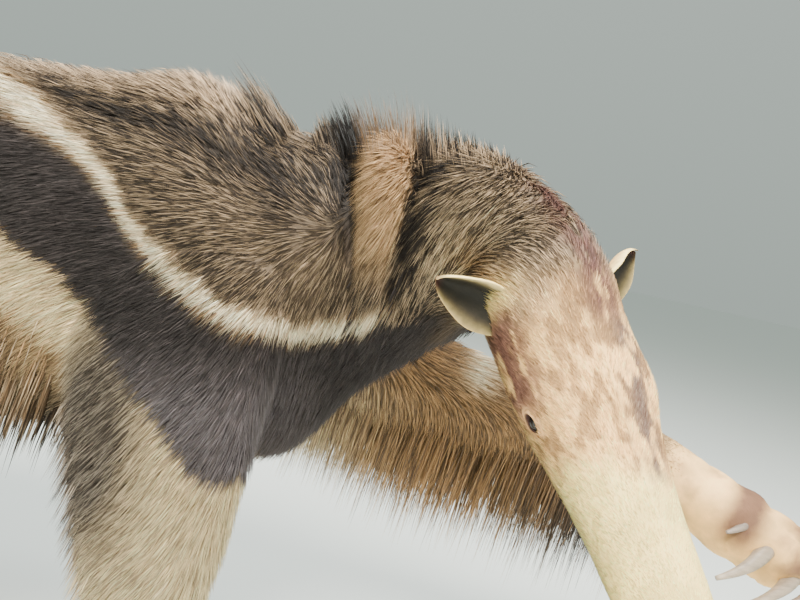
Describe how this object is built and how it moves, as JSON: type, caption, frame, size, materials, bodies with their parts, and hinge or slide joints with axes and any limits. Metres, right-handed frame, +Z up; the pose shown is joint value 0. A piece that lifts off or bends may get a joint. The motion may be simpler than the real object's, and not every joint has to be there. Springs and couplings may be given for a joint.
{
  "type": "giant anteater",
  "caption": "Life-size standing giant anteater model with a bushy tail, head turned and bent down, and one foreleg raised forward.",
  "frame": {"origin": "the floor under the middle of the model's box", "axes": "+X the way the animal faces, +Y its left side, +Z up"},
  "size_m": [2.1083, 0.508, 0.6095],
  "materials": {
    "coat": "coarse grizzled grey-brown hair with black and cream markings",
    "pale_coat": "short cream to tan hair",
    "tail_coat": "long coarse dark brown hair",
    "ear": "thin skin with sparse short hair",
    "eye": "glossy black",
    "claw": "satin grey-cream horn"
  },
  "bodies": {
    "root": {"torso": "coat", "neck": "coat", "head": "pale_coat", "tail": "tail_coat", "foreleg_right": "pale_coat", "foreleg_left": "coat", "hindleg_right": "coat", "hindleg_left": "coat", "forefoot_right": "pale_coat", "forefoot_left": "coat", "hindfoot_right": "coat", "hindfoot_left": "coat", "ear_right": "ear", "ear_left": "ear", "eye_right": "eye", "eye_left": "eye", "forefoot_right_claw_1": "claw", "forefoot_right_claw_2": "claw", "forefoot_right_claw_3": "claw", "forefoot_right_claw_4": "claw", "forefoot_left_claw_1": "claw", "forefoot_left_claw_2": "claw", "forefoot_left_claw_3": "claw", "forefoot_left_claw_4": "claw", "hindfoot_right_claw_1": "claw", "hindfoot_right_claw_2": "claw", "hindfoot_right_claw_3": "claw", "hindfoot_right_claw_4": "claw", "hindfoot_right_claw_5": "claw", "hindfoot_left_claw_1": "claw", "hindfoot_left_claw_2": "claw", "hindfoot_left_claw_3": "claw", "hindfoot_left_claw_4": "claw", "hindfoot_left_claw_5": "claw"}
  },
  "joints": []
}
